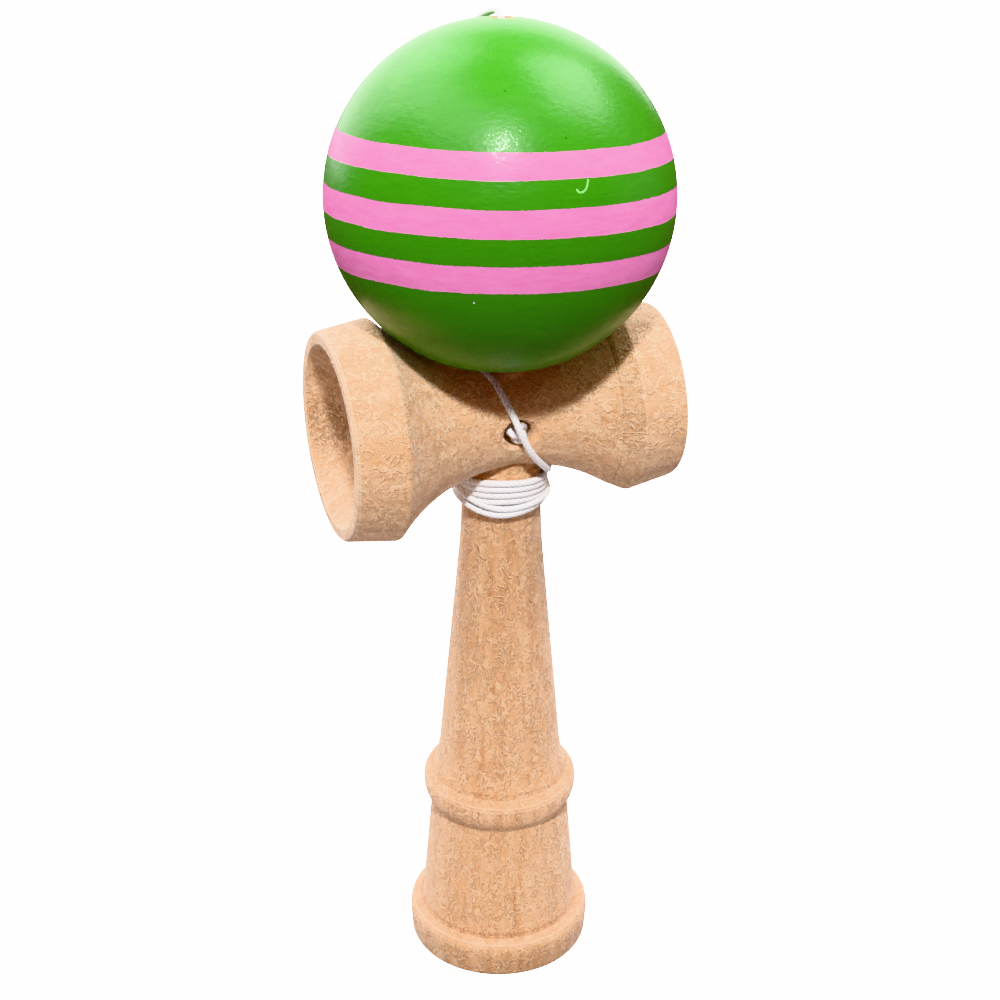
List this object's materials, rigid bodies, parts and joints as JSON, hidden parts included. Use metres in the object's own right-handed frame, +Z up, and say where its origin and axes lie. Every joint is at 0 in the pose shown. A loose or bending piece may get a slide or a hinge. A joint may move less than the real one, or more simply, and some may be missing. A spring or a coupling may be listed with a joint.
{
  "type": "kendama",
  "caption": "Wooden cup-and-ball skill toy: turned handle with a spike, crosspiece with cups at both ends, striped bored ball and a string wound on the neck.",
  "frame": {"origin": "centre of the base rim, in the plane that the toy stands on", "axes": "+Z up the handle to the spike; X along the crosspiece, big cup at -X; -Y is the side with the knot hole"},
  "size_m": [0.0615, 0.062, 0.1837],
  "materials": {
    "handle_wood": "sanded bare beech, grain along the handle",
    "crosspiece_wood": "sanded bare beech, grain along the crosspiece, rougher inside the cups",
    "ball_paint": "gloss green enamel with three pink stripes, bare wood inside the bore",
    "bead_wood": "bare wood",
    "string": "white braided polyester"
  },
  "bodies": {
    "handle": {"handle": "handle_wood", "crosspiece": "crosspiece_wood", "anchor_knot": "string", "string_tail": "string", "string_winding": "string", "string_front": "string"},
    "lifted_string": {"string_back": "string"},
    "rocking_string": {"string_top": "string", "stopper_bead": "bead_wood", "end_knot": "string"},
    "ball": {"ball": "ball_paint"}
  },
  "joints": [
    {"name": "ball_lift", "type": "slide", "parent": "handle", "child": "lifted_string", "axis": [0, 0, 1], "range_m": [0, 0.045]},
    {"name": "ball_rock", "type": "hinge", "parent": "lifted_string", "child": "rocking_string", "pos_m": [0, 0.0016, 0.1536], "axis": [0.9367, -0.3502, 0], "range_deg": [0, 18]},
    {"name": "ball_spin", "type": "hinge", "parent": "rocking_string", "child": "ball", "pos_m": [0, 0.0016, 0.1536], "axis": [0.0776, 0.2075, 0.9751], "continuous": true}
  ]
}
